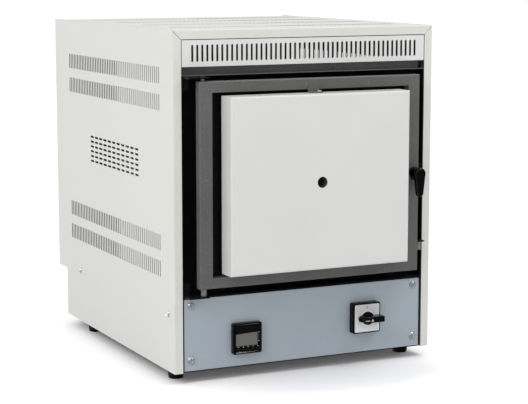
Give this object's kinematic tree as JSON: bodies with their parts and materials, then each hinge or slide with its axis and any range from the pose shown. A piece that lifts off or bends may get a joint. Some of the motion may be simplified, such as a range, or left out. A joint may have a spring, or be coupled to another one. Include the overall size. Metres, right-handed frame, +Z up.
{
  "type": "dental laboratory muffle furnace",
  "caption": "Bench-top muffle furnace for burning out and firing dental work, with a side-hinged insulated door, drop latch, temperature controller, rotary main switch and slotted sheet casing",
  "frame": {"origin": "on the table, under the middle of the furnace's outline", "axes": "+X to the viewer's right, towards the latch; +Y to the back; +Z up; the door faces -Y"},
  "size_m": [0.4448, 0.5826, 0.53],
  "materials": {
    "casing_paint": "satin light grey-white powder coat",
    "strip_paint": "satin light grey powder coat",
    "cover_paint": "satin light grey powder coat",
    "panel_paint": "matt blue-grey coat",
    "dark_paint": "fine-textured dark grey coat",
    "black_paint": "matt black coat",
    "zinc_steel": "zinc-plated sheet",
    "bright_steel": "bright",
    "fibre": "pressed ceramic fibre board",
    "ceramic": "fired ceramic",
    "heating_wire": "oxidised resistance wire",
    "black_plastic": "matt",
    "gloss_black": "gloss",
    "key_rubber": "matt",
    "window": "clear dark",
    "legend_plate": "satin",
    "sink_aluminium": "as extruded",
    "relay_case": "matt",
    "brass": "plain",
    "rubber": "matt"
  },
  "bodies": {
    "casing": {"side_panel_left": "casing_paint", "side_panel_right": "casing_paint", "top_cover": "casing_paint", "vent_strip": "strip_paint", "rear_cover": "casing_paint", "rear_panel": "casing_paint", "base_tray": "black_paint", "divider_shelf": "zinc_steel", "control_panel": "panel_paint", "front_plate": "black_paint", "door_header": "dark_paint", "door_sill": "black_paint", "recess_sides": "black_paint", "hinge_brackets": "black_paint", "hinge_pins": "zinc_steel", "latch_keeper": "black_paint", "door_switch": "zinc_steel", "door_seal": "fibre", "mouth_collar": "fibre", "inner_casing": "zinc_steel", "inner_casing_back": "zinc_steel", "support_rails": "zinc_steel", "insulation_lower": "fibre", "insulation_upper": "fibre", "insulation_rear": "fibre", "muffle": "ceramic", "heating_winding": "heating_wire", "hearth_plate": "ceramic", "thermocouple": "ceramic", "vent_tube": "ceramic", "controller_case": "black_plastic", "controller_bezel": "gloss_black", "controller_window": "window", "switch_body": "black_plastic", "switch_bezel": "black_plastic", "switch_plate": "legend_plate", "solid_state_relay": "relay_case", "heat_sink": "sink_aluminium", "terminal_block": "ceramic", "earth_stud": "brass", "cable_gland": "black_plastic", "rubber_feet": "rubber", "foot_screws": "bright_steel", "case_screws": "bright_steel"},
    "door": {"door_frame": "dark_paint", "door_pan": "black_paint", "door_insulation": "fibre", "door_cover": "cover_paint", "cover_tabs": "dark_paint", "cover_screws": "bright_steel", "sight_tube": "dark_paint", "door_switch_tongue": "black_paint"},
    "latch": {"latch_handle": "black_plastic", "latch_cam": "bright_steel"},
    "switch_knob": {"switch_knob": "black_plastic"},
    "key_1": {"controller_key_1": "key_rubber"},
    "key_2": {"controller_key_2": "key_rubber"},
    "key_3": {"controller_key_3": "key_rubber"},
    "key_4": {"controller_key_4": "key_rubber"},
    "key_5": {"controller_key_5": "key_rubber"}
  },
  "joints": [
    {"name": "door_open", "type": "hinge", "parent": "casing", "child": "door", "pos_m": [-0.178, -0.2523, 0.3012], "axis": [0, 0, -1], "range_deg": [0, 120]},
    {"name": "latch_turn", "type": "hinge", "parent": "door", "child": "latch", "pos_m": [0.176, -0.2593, 0.3032], "axis": [0, -1, 0], "range_deg": [0, 90]},
    {"name": "switch_turn", "type": "hinge", "parent": "casing", "child": "switch_knob", "pos_m": [0.102, -0.2489, 0.076], "axis": [0, -1, 0], "range_deg": [0, 90]},
    {"name": "key_1_press", "type": "slide", "parent": "casing", "child": "key_1", "axis": [0, 1, 0], "range_m": [0, 0.0006], "stiffness_N_per_m": 800},
    {"name": "key_2_press", "type": "slide", "parent": "casing", "child": "key_2", "axis": [0, 1, 0], "range_m": [0, 0.0006], "stiffness_N_per_m": 800},
    {"name": "key_3_press", "type": "slide", "parent": "casing", "child": "key_3", "axis": [0, 1, 0], "range_m": [0, 0.0006], "stiffness_N_per_m": 800},
    {"name": "key_4_press", "type": "slide", "parent": "casing", "child": "key_4", "axis": [0, 1, 0], "range_m": [0, 0.0006], "stiffness_N_per_m": 800},
    {"name": "key_5_press", "type": "slide", "parent": "casing", "child": "key_5", "axis": [0, 1, 0], "range_m": [0, 0.0006], "stiffness_N_per_m": 800}
  ]
}
